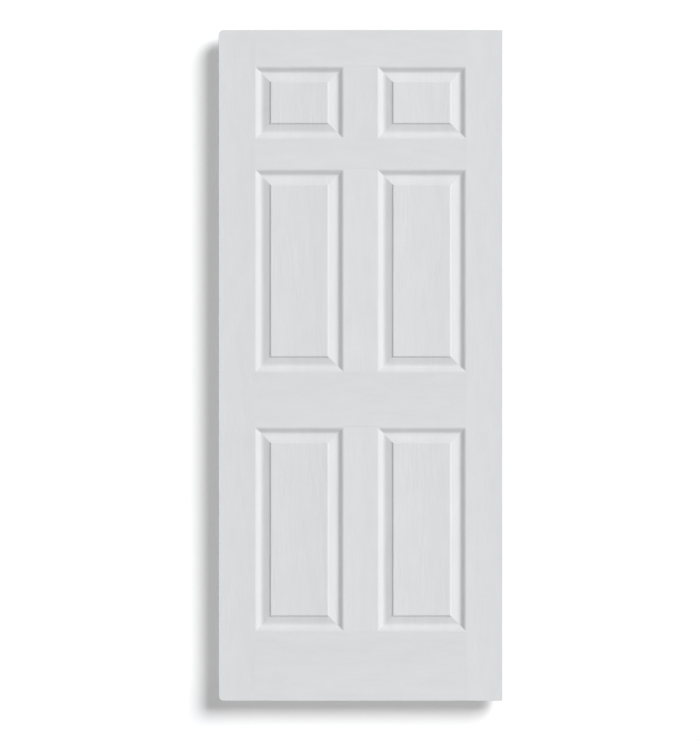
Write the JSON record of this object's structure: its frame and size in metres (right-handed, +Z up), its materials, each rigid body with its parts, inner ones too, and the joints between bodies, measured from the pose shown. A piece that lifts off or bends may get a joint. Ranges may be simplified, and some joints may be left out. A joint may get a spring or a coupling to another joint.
{
  "type": "six-panel moulded door leaf",
  "caption": "White moulded panel door leaf with raised and recessed panels, softwood edges and a hollow paper core.",
  "frame": {"origin": "middle of the leaf's foot: half-way across its width and through its thickness, on its bottom edge", "axes": "+Z up, -Y out of the front face, +X towards the latch edge, so the hinge edge is at -X"},
  "size_m": [0.838, 0.035, 1.981],
  "materials": {
    "primed_facing": "white primer over pressed fibreboard with a shallow embossed wood grain, satin",
    "softwood": "raw planed pine with finger joints",
    "block_board": "raw board",
    "kraft_paper": "brown kraft paper",
    "zinc_steel": "zinc plated strip"
  },
  "bodies": {
    "root": {"front_facing": "primed_facing", "back_facing": "primed_facing", "hinge_stile": "softwood", "latch_stile": "softwood", "bottom_rail": "softwood", "top_rail": "softwood", "hinge_lock_block": "block_board", "latch_lock_block": "block_board", "honeycomb_core": "kraft_paper", "bottom_hinge_fastener_front": "zinc_steel", "bottom_hinge_fastener_back": "zinc_steel", "bottom_latch_fastener_front": "zinc_steel", "bottom_latch_fastener_back": "zinc_steel", "top_hinge_fastener_front": "zinc_steel", "top_hinge_fastener_back": "zinc_steel", "top_latch_fastener_front": "zinc_steel", "top_latch_fastener_back": "zinc_steel"}
  },
  "joints": []
}
